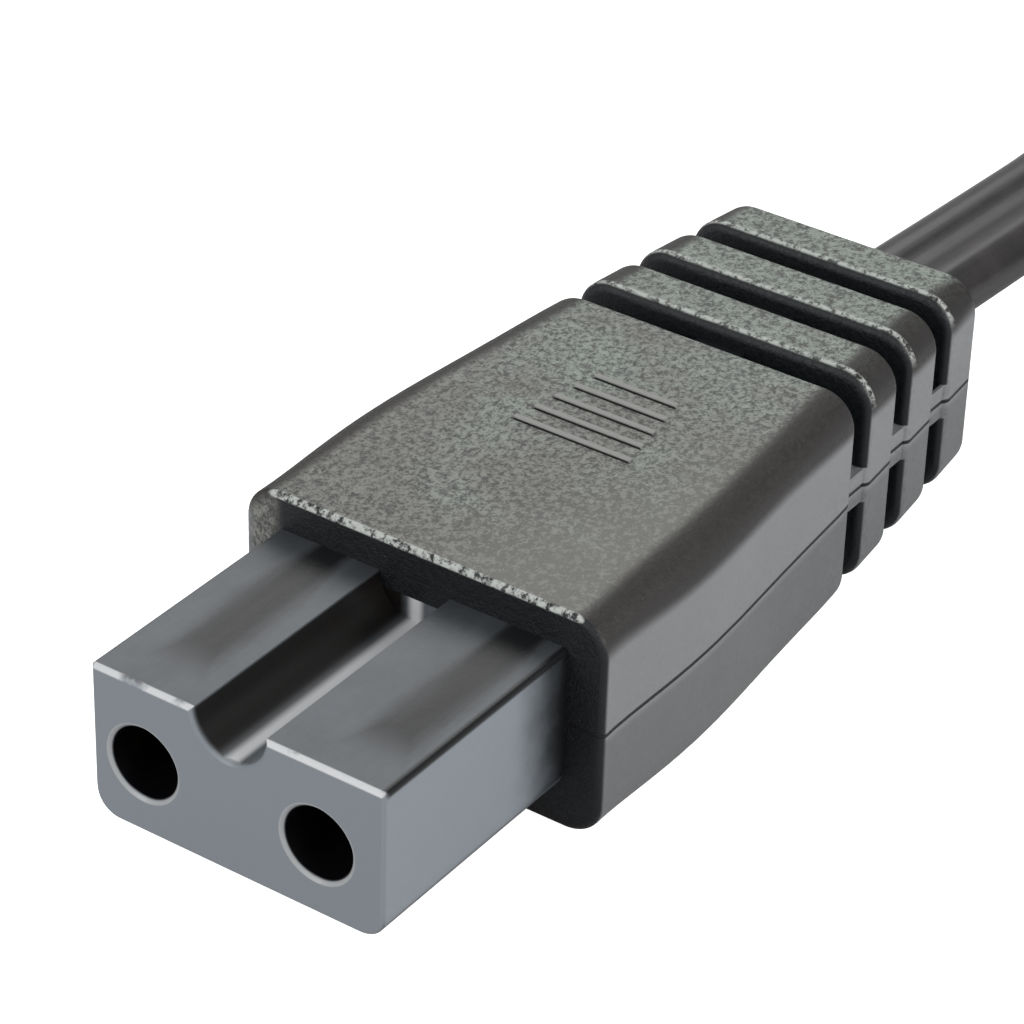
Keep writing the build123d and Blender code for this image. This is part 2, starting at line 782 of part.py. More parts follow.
# Indicator: lens in the upper half, lamp, board and resistor
lens_plane = Plane(origin=(plug_x, plug_tip_y - lens_place, plug_axis_height))
with BuildPart() as indicator_lens:
    with BuildSketch(lens_plane.offset(lens_flange_top - lens_flange_thickness)):
        Circle(lens_flange_radius)
    extrude(amount=lens_flange_thickness)
    with BuildSketch(lens_plane.offset(lens_flange_top)):
        Circle(lens_radius)
    extrude(amount=barrel_radius + lens_proud - lens_flange_top)
    fillet(indicator_lens.faces().sort_by(Axis.Z)[-1].edges(), 0.5)
save(indicator_lens.part, "indicator_lens")

with BuildPart() as indicator_board:
    with BuildSketch(plug_plan.offset(board_bottom)):
        with Locations(((board_front + board_back) / 2, 0)):
            Rectangle(board_back - board_front, 2 * board_half_width)
    extrude(amount=board_thickness)
save(indicator_board.part, "indicator_board")

board_top = board_bottom + board_thickness
with BuildPart() as indicator_led:
    with BuildSketch(lens_plane.offset(board_top)):
        Circle(led_radius + 0.3)
    extrude(amount=0.6)
    with BuildSketch(lens_plane.offset(board_top)):
        Circle(led_radius)
    extrude(amount=led_height)
    fillet(indicator_led.faces().sort_by(Axis.Z)[-1].edges(), 0.9 * led_radius)
save(indicator_led.part, "indicator_led")

resistor_height = board_top + resistor_radius + 0.1
with BuildPart() as resistor:
    with BuildSketch(plug_side.offset(-resistor_length / 2)):
        with Locations((resistor_place, resistor_height)):
            Circle(resistor_radius)
    extrude(amount=resistor_length)
    chamfer(resistor.edges().filter_by(GeomType.CIRCLE), 0.3)
    with BuildLine():
        FilletPolyline(
            (plug_x - resistor_length / 2 - 1.2, plug_tip_y - resistor_place, plug_axis_height + board_top),
            (plug_x - resistor_length / 2 - 1.2, plug_tip_y - resistor_place, plug_axis_height + resistor_height),
            (plug_x + resistor_length / 2 + 1.2, plug_tip_y - resistor_place, plug_axis_height + resistor_height),
            (plug_x + resistor_length / 2 + 1.2, plug_tip_y - resistor_place, plug_axis_height + board_top),
            radius=0.5,
        )
    with BuildSketch(
        Plane(origin=(plug_x - resistor_length / 2 - 1.2, plug_tip_y - resistor_place, plug_axis_height + board_top))
    ):
        RegularPolygon(resistor_wire, 8)
    sweep()
save(resistor.part, "resistor")

# Wires inside the plug, from the boot to the two solder tabs
wire_ends = {"positive": core_spacing / 2, "negative": -negative_wire_place}
wire_starts = {"positive": core_spacing / 2, "negative": -core_spacing / 2}


def plug_point(place, x, height=0.0):
    return (plug_x + x, plug_tip_y - place, plug_axis_height + height)


plug_cores = {}
for pole, end_x in wire_ends.items():
    start_x = wire_starts[pole]
    with BuildPart() as core:
        with BuildLine():
            if end_x == start_x:
                Line(plug_point(plug_length, start_x), plug_point(wire_end, end_x))
            else:
                FilletPolyline(
                    plug_point(plug_length, start_x),
                    plug_point(wire_bend - 2.0, start_x),
                    plug_point(wire_run_back - 1.0, end_x),
                    plug_point(wire_end, end_x),
                    radius=[5.0, 4.0],
                )
        with BuildSketch(Plane(origin=plug_point(plug_length, start_x), z_dir=(0, 1, 0))):
            Circle(core_radius)
        sweep()
    save(core.part, f"plug_core_{pole}")
    plug_cores[pole] = core.part

with BuildPart() as plug_strands:
    with BuildSketch(plug_across(plug_strand_front)):
        with Locations((wire_ends["positive"], 0), (wire_ends["negative"], 0)):
            Circle(plug_strand_radius)
    extrude(amount=wire_end - plug_strand_front)
save(plug_strands.part, "plug_strands")

# Boot: a flange inside the housing, a neck through its rear wall and a grooved taper
with BuildPart() as plug_strain_relief:
    with BuildSketch(plug_side):
        with BuildLine():
            Polyline(
                (boot_flange_front, 0), (boot_flange_front, boot_flange_radius),
                (boot_inner_back - 0.1, boot_flange_radius), (boot_inner_back - 0.1, boot_hole_radius - 0.05),
                (handle_back + 0.1, boot_hole_radius - 0.05), (handle_back + 0.1, boot_front_radius),
                (plug_length, boot_back_radius), (plug_length, 0), close=True,
            )
        make_face()
        for groove in range(boot_groove_count):
            groove_place = boot_groove_first + groove * boot_groove_pitch
            run = (groove_place - handle_back) / (plug_length - handle_back)
            surface = boot_front_radius + (boot_back_radius - boot_front_radius) * run
            with Locations((groove_place, surface)):
                Rectangle(boot_groove_width, 2 * boot_groove_depth, mode=Mode.SUBTRACT)
    revolve(axis=plug_axis)
    for core in plug_cores.values():
        add(core, mode=Mode.SUBTRACT)
save(plug_strain_relief.part, "plug_strain_relief")
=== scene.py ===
"""The looks of a car refrigerator power lead: keyed connector, flat twin cord, accessory plug."""

from math import cos, pi, radians, sin

import bmesh
import bpy
from mathutils import Matrix, Vector


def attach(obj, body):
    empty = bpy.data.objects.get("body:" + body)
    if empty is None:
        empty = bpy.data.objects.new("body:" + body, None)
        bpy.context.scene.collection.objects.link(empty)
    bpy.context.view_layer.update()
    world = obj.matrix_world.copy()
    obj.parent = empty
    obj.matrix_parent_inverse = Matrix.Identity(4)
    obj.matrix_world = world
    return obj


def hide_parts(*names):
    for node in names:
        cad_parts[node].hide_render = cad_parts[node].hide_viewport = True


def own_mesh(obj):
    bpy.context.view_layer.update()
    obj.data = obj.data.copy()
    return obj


bl_info = {
    "name": "Car refrigerator power lead",
    "version": (1, 0, 0),
    "blender": (4, 5, 0),
    "location": "View3D > Sidebar > Power lead",
    "description": "Dresses the packed power lead and sets up its stage",
    "category": "Object",
}

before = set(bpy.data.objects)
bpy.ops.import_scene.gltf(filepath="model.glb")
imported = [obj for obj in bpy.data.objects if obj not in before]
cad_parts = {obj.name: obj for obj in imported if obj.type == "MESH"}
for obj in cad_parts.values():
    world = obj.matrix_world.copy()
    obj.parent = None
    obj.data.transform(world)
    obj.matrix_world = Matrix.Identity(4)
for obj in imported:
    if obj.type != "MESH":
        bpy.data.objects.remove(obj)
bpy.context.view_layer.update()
MM = 0.001

# Route of the cord outside the hank, as in the part's source: connector side and plug side
LEAD_ROUTE = [
    (0, 0.027, 0.0062), (0, 0.031, 0.0062), (0, 0.042, 0.00535), (0, 0.058, 0.0042), (-0.0024, 0.067, 0.0042),
]
TAIL_ROUTE = [(-0.0023, 0.1928, 0.0112), (0, 0.2005, 0.0112), (0, 0.2075, 0.0103), (0, 0.2125, 0.0103)]
# Hank: middle of its width, the centres of its two end arcs, its three tracks and two layers
HANK_X, HANK_FRONT, HANK_REAR = 0.012, 0.0939, 0.1659
OUTER, MIDDLE, INNER = 0.0243, 0.02085, 0.0174
LOWER, UPPER = 0.0042, 0.0112
# Angles of the arcs' control points, half the step between them, and where the cord joins and leaves the hank
REAR_ARC = (165, 135, 105, 75, 45, 15)
FRONT_ARC = (345, 315, 285, 255, 225, 195)
HALF_STEP = 15
JOINS_AT, LEAVES_AT = 208, 152
# How far the straight runs' first and last points stay from the arcs' centres
RUN_INSET = 0.006
# Start and end of the quarter twists, each from its own end of the cord
LEAD_TWIST = (0.028, 0.056)
TAIL_TWIST = (0.012, 0.04)
# Chart of a tube: its height for the whole way round, and where the cord's groove lies on each half
ROUND_HEIGHT = 0.018
GROOVE_ROUND = 0.00818

# Places on the connector that its finishes are set out from, in millimetres. Block: its mouth, top and
# half width, the middle between its bores, how far they are from that and how high, the keyway's radius
# and the middle of each lobe
MOUTH, BLOCK_TOP, BLOCK_SIDE = -27.0, 10.7, 8.5
POLES_MIDDLE, POLE_ASIDE, POLE_HEIGHT = -0.4, 5.075, 6.2
KEYWAY_RADIUS, LOBE_MIDDLE = 2.1, 5.7
# Body: its front, back, top at the front, half width and parting line, and the slots between its ribs
BODY_FRONT, BODY_BACK, BODY_TOP, BODY_SIDE, PARTING = -12.7, 27.0, 12.66, 10.7, 6.45
SLOT_FRONT, SLOT_PITCH, SLOT_WIDTH = 12.2, 4.9, 1.9
# Grip bars: their pitch, the first one's start, the last one's end and the crown's height
BAR_PITCH, BARS_FRONT, BARS_BACK, BAR_CROWN = 1.43, -0.47, 5.72, 12.92

# Colours of small marks: painted highlights on edges, rims and crowns, painted shade in corners, the keyway,
# slots, bores, before the bars and in grooves, and the parting line
PLAIN = (1.0, 1.0, 1.0)
EDGE_HIGHLIGHT = (0.55, 0.56, 0.57)
BORE_RIM_HIGHLIGHT = (0.34, 0.35, 0.36)
RIM_HIGHLIGHT = (0.42, 0.44, 0.42)
CROWN_HIGHLIGHT = (0.26, 0.26, 0.25)
CORNER_SHADE = (0.014, 0.0115, 0.0105)
KEYWAY_SHADE = (0.006, 0.005, 0.0045)
SLOT_SHADE = (0.003, 0.004, 0.006)
BORE_SHADE = (0.002, 0.002, 0.003)
BAR_SHADE = (0.004, 0.004, 0.004)
GROOVE_SHADE = (0.003, 0.003, 0.003)
LINE_SHADE = (0.002, 0.002, 0.002)

# The photograph's viewpoint: what it looks at, its angles, distance, width and focal length
PHOTO_TARGET = Vector((1.24, -7.0, 12.52)) * MM
AZIMUTH, ELEVATION, ROLL, DISTANCE = 34.18, 32.81, 1.70, 0.19308
PHOTO_PIXELS, FOCAL_PIXELS, SENSOR_WIDTH = 1024, 4000, 36.0

# ------------------------------------------------------------------ settings


class LeadSizes(bpy.types.PropertyGroup):
    """Sizes of the cord's skin."""

    cord_width: bpy.props.FloatProperty(
        name="Cord width", description="Width of the flat cord",
        default=0.007, subtype="DISTANCE", unit="LENGTH",
    )
    cord_thickness: bpy.props.FloatProperty(
        name="Cord thickness", description="Thickness of each lobe",
        default=0.0034, subtype="DISTANCE", unit="LENGTH",
    )
    groove_depth: bpy.props.FloatProperty(
        name="Groove depth", description="Depth between the two lobes",
        default=0.0006, subtype="DISTANCE", unit="LENGTH",
    )
    cord_length: bpy.props.FloatProperty(
        name="Cord length", description="Free length of the cord",
        default=1.555, subtype="DISTANCE", unit="LENGTH",
    )


class LeadColours(bpy.types.PropertyGroup):
    """Colours that are seen first."""

    block: bpy.props.FloatVectorProperty(
        name="Block", description="Hard plastic of the socket block",
        subtype="COLOR", default=(0.094, 0.105, 0.116),
    )
    body: bpy.props.FloatVectorProperty(
        name="Body", description="Soft plastic of the moulded body",
        subtype="COLOR", default=(0.21, 0.215, 0.208),
    )
    cord: bpy.props.FloatVectorProperty(
        name="Cord", description="Cord's skin", subtype="COLOR", default=(0.018, 0.018, 0.02)
    )
    plug: bpy.props.FloatVectorProperty(
        name="Plug", description="Plug's housing", subtype="COLOR", default=(0.07, 0.072, 0.073)
    )
    lens: bpy.props.FloatVectorProperty(
        name="Lens", description="Indicator lens", subtype="COLOR", default=(0.55, 0.03, 0.02)
    )


class StageSettings(bpy.types.PropertyGroup):
    """Light on the object."""

    key_power: bpy.props.FloatProperty(
        name="Key", description="Power of the soft box that the tops mirror", default=0.9, unit="POWER"
    )
    front_power: bpy.props.FloatProperty(
        name="Front", description="Power of the soft box before the mouth", default=2.0, unit="POWER"
    )
    side_power: bpy.props.FloatProperty(
        name="Side", description="Power of the soft box on the right", default=3.2, unit="POWER"
    )
    edge_power: bpy.props.FloatProperty(
        name="Edge", description="Power of the small box for the front edges", default=0.35, unit="POWER"
    )
    world_level: bpy.props.FloatProperty(
        name="Surround", description="Light from all round", default=0.4, subtype="FACTOR"
    )
    mirrored_level: bpy.props.FloatProperty(
        name="Mirrored", description="Surround that glossy surfaces mirror", default=0.35, subtype="FACTOR"
    )


# ----------------------------------------------------------------- materials


class Value:
    """A node's output that takes part in Python expressions."""

    def __init__(self, finish, socket):
        self.finish = finish
        self.socket = socket

    def maths(self, operation, first, second):
        return self.finish.node("ShaderNodeMath", {"operation": operation}, {0: first, 1: second})

    def __add__(self, other):
        return self.maths("ADD", self, other)

    def __sub__(self, other):
        return self.maths("SUBTRACT", self, other)

    def __rsub__(self, other):
        return self.maths("SUBTRACT", other, self)

    def __pow__(self, other):
        return self.maths("POWER", self, other)

    def __mul__(self, other):
        return self.maths("MULTIPLY", self, other)

    def __mod__(self, other):
        return self.maths("MODULO", self, other)

    def __abs__(self):
        return self.maths("ABSOLUTE", self, 0.0)

    def __and__(self, other):
        """Where both are."""
        return self.maths("MINIMUM", self, other)

    def __or__(self, other):
        """Where either is."""
        return self.maths("MAXIMUM", self, other)


class Finish:
    """A material that is built node by node, set out in the piece's own millimetres."""

    def __init__(self, name, **constants):
        self.material = bpy.data.materials.new(name)
        self.material.use_nodes = True
        self.tree = self.material.node_tree
        self.shader = self.tree.nodes["Principled BSDF"]
        for socket, value in constants.items():
            self.shader.inputs[socket.replace("_", " ").title().replace("Ior", "IOR")].default_value = value
        place = self.node("ShaderNodeTexCoord", {}, {}, "Object")
        self.in_mm = self.node("ShaderNodeMapping", {}, {"Vector": place, "Scale": (1 / MM, 1 / MM, 1 / MM)})

    def node(self, kind, settings, values, output=0):
        made = self.tree.nodes.new(kind)
        for name, setting in settings.items():
            setattr(made, name, setting)
        for name, value in values.items():
            if isinstance(value, Value):
                self.tree.links.new(value.socket, made.inputs[name])
            else:
                made.inputs[name].default_value = value
        return Value(self, made.outputs[output])

    def stretched(self, *scale):
        """Millimetres stretched so that a pattern runs along an axis."""
        return self.node("ShaderNodeMapping", {}, {"Vector": self.in_mm, "Scale": scale})

    def noise(self, scale, detail=2.0, roughness=0.5, place=None):
        """Noise with scale patches to the millimetre."""
        values = {"Vector": place or self.in_mm, "Scale": scale, "Detail": detail, "Roughness": roughness}
        return self.node("ShaderNodeTexNoise", {}, values)

    def cells(self, scale):
        return self.node("ShaderNodeTexVoronoi", {"feature": "F1"}, {"Vector": self.in_mm, "Scale": scale})

    def blend(self, factor, first, second):
        """A mix of two colours."""
        # The mix node's colour inputs are its seventh and eighth
        values = {"Factor": factor}
        values[6] = first if isinstance(first, Value) else (*first, 1)
        values[7] = second if isinstance(second, Value) else (*second, 1)
        return self.node("ShaderNodeMix", {"data_type": "RGBA"}, values, 2)

    def part_of(self, axis):
        """One coordinate of the place on the piece, in millimetres."""
        return self.node("ShaderNodeSeparateXYZ", {}, {0: self.in_mm}, axis)

    def band(self, value, start, end):
        """0 before start, 1 after end."""
        values = {"Value": value, "From Min": start, "From Max": end}
        return self.node("ShaderNodeMapRange", {"interpolation_type": "SMOOTHSTEP", "clamp": True}, values)

    def near(self, value, middle, reach, soft):
        """1 where value is within reach of middle, fading out over soft."""
        return self.band(abs(value - middle), reach + soft, reach)

    def bump(self, height, depth):
        """Relief of depth millimetres."""
        return self.node("ShaderNodeBump", {}, {"Height": height, "Distance": depth * MM, "Strength": 1.0})

    def drive(self, **sockets):
        """Links values to the shader: base_color, roughness, normal."""
        for name, value in sockets.items():
            self.tree.links.new(value.socket, self.shader.inputs[name.replace("_", " ").title()])
        return self


def dress(finish, *nodes):
    """Gives carried-over CAD nodes a finish."""
    for name in nodes:
        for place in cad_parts[name].material_slots:
            place.material = finish.material


def scaled(colour, *factors):
    """A colour times one factor, or times a factor for each channel."""
    return tuple(part * factor for part, factor in zip(colour, factors if len(factors) == 3 else factors * 3))


def moulded(name, colour, smooth, grain, depth, tint, mottle):
    """Moulded plastic: a fine eroded grain, faint mottling and slow flow marks along the part."""
    made = Finish(name, ior=1.5)
    fine = made.noise(grain, 3.0, 0.6)
    pits = made.cells(grain * 0.8)
    flow = made.noise(0.26, 2.0, 0.5, made.stretched(1.0, 0.12, 1.0))
    patches = made.noise(0.7, 4.0, 0.62)
    darker = scaled(colour, 1 - mottle)
    lighter = scaled(scaled(colour, 1 + mottle), *tint)
    look = made.blend(made.band(patches * 0.6 + flow * 0.4, 0.3, 0.7), darker, lighter)
    rough = fine * 0.12 + flow * 0.1 + (smooth - 0.11)
    relief = fine * 0.65 + pits * 0.35
    return made.drive(base_color=look, roughness=rough, normal=made.bump(relief, depth))


def block_finish(colour):
    """The block's satin plastic, with painted light and shade: dark streaks along its lobes, shade in its
    keyway and towards the body, a lit front face and side, and highlights on its edges.
    """
    made = Finish("satin_block", ior=1.42)
    across, along, height = (made.part_of(axis) for axis in range(3))
    patches = made.noise(0.42, 4.0, 0.6)
    fine = made.noise(5.2, 3.0, 0.6)
    smear = made.noise(0.9, 4.0, 0.65, made.stretched(1.0, 0.15, 1.0))
    painted_shade = scaled(colour, 0.06)
    painted_light = scaled(colour, 2.2)
    look = made.blend(made.band(patches * 0.5 + smear * 0.5, 0.35, 0.65), scaled(colour, 0.75), colour)
    sunk = BLOCK_TOP - height
    behind_mouth = made.band(along, MOUTH + 0.1, MOUTH + 0.4)
    # Lobes: a painted dark streak along the middle of each, where a sink mark mirrors less light, and painted
    # shade towards the body
    upper = made.band(height, BLOCK_TOP - 0.3, BLOCK_TOP - 0.08)
    streak = made.near(abs(across + smear * 1.2 - 1.1), LOBE_MIDDLE, 0.5, 1.6)
    streak = streak & made.band(along, MOUTH + 1.5, MOUTH + 4.8)
    shaded = made.band(along, BODY_FRONT - 5.3, BODY_FRONT - 0.1) * 0.6
    look = made.blend(upper & (streak | shaded), look, painted_shade)
    # Sides: painted light before, painted shade where they enter the body
    side = made.band(abs(across), BLOCK_SIDE - 0.15, BLOCK_SIDE - 0.02)
    side = side & made.band(height, BLOCK_TOP - 0.1, BLOCK_TOP - 0.3)
    towards_body = made.band(along + patches * 2.0, BODY_FRONT - 3.8, BODY_FRONT + 0.9)
    look = made.blend(side, look, made.blend(towards_body, painted_light, painted_shade))
    # Keyway: painted shade on its left wall, a painted highlight along its floor
    from_middle = across - POLES_MIDDLE
    from_axis = (from_middle * from_middle + sunk * sunk) ** 0.5
    inside = made.band(from_axis, KEYWAY_RADIUS + 0.06, KEYWAY_RADIUS + 0.02) & made.band(sunk, 0.08, 0.14)
    inside = inside & behind_mouth
    wall = made.band(across, POLES_MIDDLE - 0.2, POLES_MIDDLE - 0.9)
    look = made.blend(inside & wall, look, KEYWAY_SHADE)
    look = made.blend(inside & made.near(across, POLES_MIDDLE + 0.1, 0.1, 0.5), look, EDGE_HIGHLIGHT)
    # Front face painted lighter as lit, painted highlights on its top edges and the bores' rims, and painted
    # shade in the bores
    face = made.band(along, MOUTH + 0.2, MOUTH + 0.08)
    look = made.blend(face, look, scaled(colour, 1.95))
    corner = made.band((along - MOUTH) + sunk, 0.3, 0.16)
    look = made.blend(corner & made.band(patches, 0.3, 0.5), look, EDGE_HIGHLIGHT)
    # Painted shade along the edge between the top and the right side
    edge = made.band((BLOCK_SIDE - across) + sunk, 0.42, 0.2)
    look = made.blend(edge & behind_mouth, look, painted_shade)
    pole_x = abs(from_middle) - POLE_ASIDE
    pole_z = height - POLE_HEIGHT
    from_pole = (pole_x * pole_x + pole_z * pole_z) ** 0.5
    look = made.blend(made.near(from_pole, 2.05, 0.08, 0.08) & face, look, BORE_RIM_HIGHLIGHT)
    hole = made.band(from_pole, 1.99, 1.94) & made.band(along, MOUTH + 0.02, MOUTH + 0.2)
    look = made.blend(hole, look, BORE_SHADE)
    rough = fine * 0.1 + smear * 0.16 + 0.22
    return made.drive(base_color=look, roughness=rough, normal=made.bump(fine * 0.6 + smear * 0.4, 0.012))


def body_finish(colour):
    """The body's eroded plastic: strong grain, a parting line, painted shade on its upper corners, front face
    and slots, and painted highlights on its rims.
    """
    made = Finish("eroded_body", ior=1.45)
    across, along, height = (made.part_of(axis) for axis in range(3))
    grain = made.noise(2.8, 5.0, 0.7, made.stretched(1.0, 0.8, 1.0))
    fine = made.noise(6.5, 3.0, 0.62)
    patches = made.noise(0.16, 3.0, 0.55)
    warm = scaled(colour, 1.03, 1.0, 0.95)
    green = scaled(scaled(colour, 0.97, 1.07, 0.98), 1.35)
    ground = made.blend(made.band(patches + along * 0.012, 0.4, 0.72), warm, green)
    # Dark grain, which fades into the ground towards the right
    mottled = made.band(grain * 0.6 + fine * 0.4, 0.4, 0.58)
    weak = made.band(across - along * 0.5, 0.0, 11.0) * 0.55
    look = made.blend(mottled | weak, scaled(colour, 0.24), ground)
    # Sides smoother, with a violet cast, and darker below the parting line
    taper = made.band(along, -5.0, BODY_BACK) * 2.8
    side = made.band(abs(across) + taper, BODY_SIDE - 0.8, BODY_SIDE - 0.1)
    violet = scaled(colour, 1.13, 1.13, 1.24)
    below = made.band(height, PARTING + 0.15, PARTING - 0.65)
    shade = made.blend(below * 0.8 | (patches * 0.5), violet, scaled(violet, 0.4))
    look = made.blend(side * 0.85, look, shade)
    # Upper corners: painted shade along the fillets
    corner = (abs(across) + taper - 8.68) + (height - 10.9)
    look = made.blend(made.band(corner, 1.6, 2.4) * 0.93, look, CORNER_SHADE)
    # Front face and slots painted near black as shade, except on the rails; painted highlights where the rims
    # before them and the front top edge catch the light
    phase = (along - SLOT_FRONT) % SLOT_PITCH
    slot = made.band(phase, 0.0, 0.1) & made.band(phase, SLOT_WIDTH + 0.02, SLOT_WIDTH - 0.12)
    slot = slot & made.band(along, BODY_BACK - 0.1, BODY_BACK - 0.2)
    rail = made.near(height, PARTING, 1.04, 0.02) & made.band(abs(across), 7.8, 7.9)
    front = made.band(along, BODY_FRONT + 0.35, BODY_FRONT + 0.15) & made.band(across, -9.4, -8.2)
    look = made.blend((slot & (1.0 - rail)) | front, look, SLOT_SHADE)
    rim = made.near(phase, SLOT_WIDTH + 0.12, 0.04, 0.18) & made.band(height, 10.8, 12.0)
    rim = rim & made.band(along, SLOT_FRONT, SLOT_FRONT + 0.1)
    look = made.blend(rim & made.band(grain, 0.42, 0.56), look, RIM_HIGHLIGHT)
    edge = made.band((along - BODY_FRONT) + (BODY_TOP - height), 0.33, 0.26) & made.band(height, 11.8, 12.3)
    look = made.blend(edge & made.band(grain, 0.4, 0.56), look, RIM_HIGHLIGHT)
    # Grip bars: painted shade before each and a painted highlight on the crown
    before_bar = made.near((along - BARS_FRONT) % BAR_PITCH, 0.06, 0.05, 0.03) & made.band(height, 12.7, 12.8)
    before_bar = before_bar & made.band(along, BARS_FRONT + 0.01, BARS_FRONT + 0.03)
    before_bar = before_bar & made.band(along, BARS_BACK, BARS_BACK - 0.02)
    reach = 3.5 - (along + 0.2) * 0.175 - abs(across - 0.1)
    look = made.blend(before_bar & made.band(reach, -0.05, 0.05), look, BAR_SHADE)
    look = made.blend(made.band(height, BAR_CROWN, BAR_CROWN + 0.06), look, CROWN_HIGHLIGHT)
    # Parting line
    line = made.near(height, PARTING, 0.07, 0.05) & made.band(abs(across), 6.0, 6.2)
    look = made.blend(line, look, LINE_SHADE)
    rough = fine * 0.14 + mottled * 0.12 + 0.36 - side * 0.08
    relief = (grain * 0.7 + fine * 0.3) * (1.0 - side * 0.7) - line * 2.0
    return made.drive(base_color=look, roughness=rough, normal=made.bump(relief, 0.11))


def metal(name, colour, smooth):
    """Stamped or plated metal with fine grain and slight tarnish."""
    made = Finish(name, metallic=1.0)
    grain = made.noise(2.6)
    tarnish = made.noise(0.24, 4.0, 0.6)
    look = made.blend(made.band(tarnish, 0.45, 0.75), colour, scaled(colour, 0.62))
    rough = grain * 0.12 + tarnish * 0.16 + (smooth - 0.12)
    return made.drive(base_color=look, roughness=rough, normal=made.bump(grain, 0.006))


def cord_skin(colour):
    """Extruded skin: streaks along the cord, a warm bloom and shaded grooves."""
    made = Finish("cord_skin", ior=1.5)
    spot = made.node("ShaderNodeUVMap", {"uv_map": "skin"}, {})
    round_it = made.node("ShaderNodeSeparateXYZ", {}, {0: spot}, 1)
    lengthways = made.node("ShaderNodeMapping", {}, {"Vector": spot, "Scale": (60.0, 9000.0, 1.0)})
    streaks = made.noise(1.0, 2.0, 0.5, lengthways)
    fine = made.noise(5.2, 2.0, 0.5)
    bloom = made.noise(0.33, 4.0, 0.6)
    warm = scaled(colour, 2.0, 1.7, 1.6)
    look = made.blend(made.band(bloom * 0.7 + streaks * 0.3, 0.38, 0.68), colour, warm)
    groove = made.near(round_it % (ROUND_HEIGHT / 2), GROOVE_ROUND, 0.0004, 0.0005)
    look = made.blend(groove, look, GROOVE_SHADE)
    rough = streaks * 0.1 + bloom * 0.12 + 0.2
    return made.drive(base_color=look, roughness=rough, normal=made.bump(streaks * 0.6 + fine * 0.4, 0.008))


# --------------------------------------------------------------------- cord


def hank_points():
    """Control points of the hank: three tracks below, out to in, and three above, in to out."""
    # Track before and after the shift, layer before and after, and the stations where the shift runs
    turns = [
        (OUTER, MIDDLE, LOWER, LOWER, 15, 16),
        (MIDDLE, INNER, LOWER, LOWER, 14, 15),
        (INNER, INNER, LOWER, UPPER, 12, 14),
        (INNER, MIDDLE, UPPER, UPPER, 9, 11),
        (MIDDLE, OUTER, UPPER, UPPER, 8, 10),
    ]
    left = [HANK_FRONT + RUN_INSET, (HANK_FRONT + HANK_REAR) / 2, HANK_REAR - RUN_INSET]
    stations = [("run", -1, y) for y in left]
    stations += [("arc", HANK_REAR, angle) for angle in REAR_ARC]
    stations += [("run", 1, y) for y in reversed(left)]
    stations += [("arc", HANK_FRONT, angle) for angle in FRONT_ARC]
    points = []
    for before, after, low, high, first, last in turns:
        for number, (kind, where, value) in enumerate(stations):
            share = min(1.0, max(0.0, (number - first) / (last - first)))
            track = before + (after - before) * share
            height = low + (high - low) * share
            if kind == "run":
                points.append((HANK_X + where * track, value, height))
            else:
                points.append(on_arc(track, where, value, height))
    points += [(HANK_X - OUTER, y, UPPER) for y in left]
    return points


def on_arc(track, centre, angle, height):
    """Control point of an end arc, as far outside its track as keeps the curve on it."""
    reach = track / cos(radians(HALF_STEP))
    return (HANK_X + reach * cos(radians(angle)), centre + reach * sin(radians(angle)), height)


def cord_route():
    joins = on_arc(OUTER, HANK_FRONT, JOINS_AT, LOWER)
    leaves = on_arc(OUTER, HANK_REAR, LEAVES_AT, UPPER)
    return [*LEAD_ROUTE, joins, *hank_points(), leaves, *TAIL_ROUTE]


def cord_section(width, thickness, groove):
    """Outline of the flat twin cord: two round lobes with a groove between them on both sides."""
    radius = thickness / 2
    centre = width / 2 - radius
    steps, first, last = 9, -118, 118
    lobe = [radians(first + (last - first) * step / steps) for step in range(steps + 1)]
    right = [(centre + radius * cos(angle), radius * sin(angle)) for angle in lobe]
    left = [(-x, -y) for x, y in right]
    return [*right, (0.0, radius - groove), *left, (0.0, groove - radius)]


def tube(name, rings, run):
    """A closed tube through rings of points, charted along it by run, each ring's place, and round it."""
    mesh = bmesh.new()
    chart = mesh.loops.layers.uv.new("skin")
    rows = [[mesh.verts.new(spot) for spot in ring] for ring in rings]
    count = len(rings[0])
    for number in range(len(rows) - 1):
        for corner in range(count):
            following = (corner + 1) % count
            near, far = rows[number], rows[number + 1]
            face = mesh.faces.new((near[corner], near[following], far[following], far[corner]))
            face.smooth = True
            spots = ((number, corner), (number, corner + 1), (number + 1, corner + 1), (number + 1, corner))
            for loop, (place, side) in zip(face.loops, spots):
                loop[chart].uv = (run[place], ROUND_HEIGHT * side / count)
    mesh.faces.new(list(reversed(rows[0])))
    mesh.faces.new(rows[-1])
    bmesh.ops.recalc_face_normals(mesh, faces=mesh.faces)
    made = bpy.data.meshes.new(name)
    mesh.to_mesh(made)
    mesh.free()
    return made


def smooth_share(value, start, end):
    """0 at start and 1 at end, easing in and out."""
    share = min(1.0, max(0.0, (value - start) / (end - start)))
    return share * share * (3 - 2 * share)


